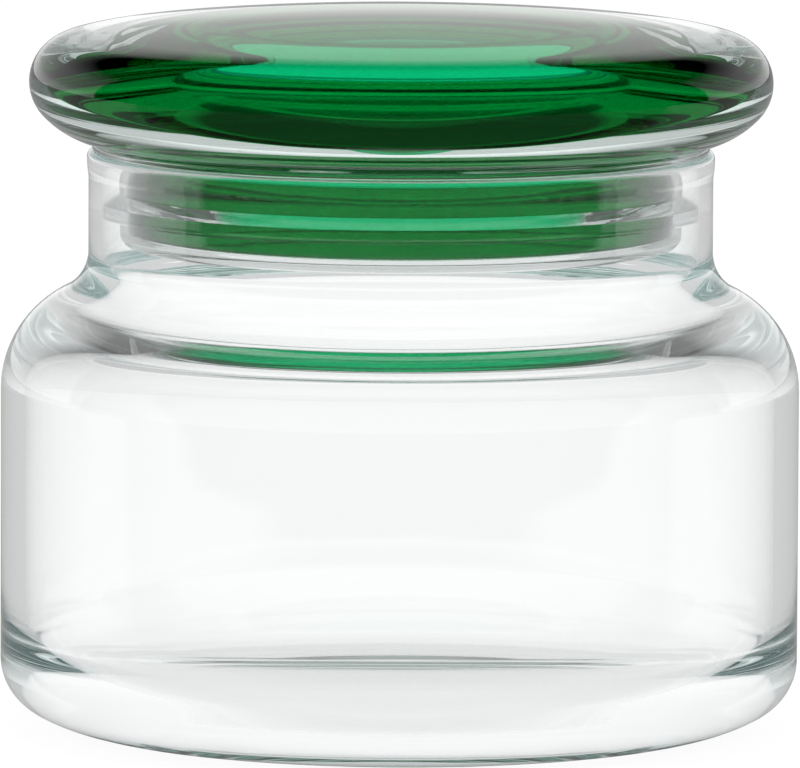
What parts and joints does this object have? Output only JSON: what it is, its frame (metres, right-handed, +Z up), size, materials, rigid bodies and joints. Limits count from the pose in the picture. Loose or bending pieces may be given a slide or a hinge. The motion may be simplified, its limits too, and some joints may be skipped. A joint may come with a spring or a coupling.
{
  "type": "glass storage canister",
  "caption": "Squat round glass keeper with a straight wall, a sloped shoulder and a short neck, closed by a heavy glass stopper lid that is hollow and green inside, on a soft seal ring.",
  "frame": {"origin": "centre of the ring that the jar stands on, at the bottom of the part", "axes": "+Z up along the axis that every piece is turned about; X and Y are free"},
  "size_m": [0.098, 0.098, 0.0877],
  "materials": {
    "clear_glass": "clear, smooth, with a very faint aqua tint",
    "seal": "milky translucent soft polyethylene",
    "green_glass": "clear smooth glass with a transparent deep green coat inside its hollow"
  },
  "bodies": {
    "jar": {"glass_jar": "clear_glass"},
    "seal": {"seal_ring": "seal"},
    "lid": {"lid": "green_glass"}
  },
  "joints": [
    {"name": "seal_lift", "type": "slide", "parent": "jar", "child": "seal", "axis": [0, 0, 1], "range_m": [0, 0.05]},
    {"name": "lid_pull", "type": "slide", "parent": "seal", "child": "lid", "axis": [0, 0, 1], "range_m": [0, 0.03]}
  ]
}
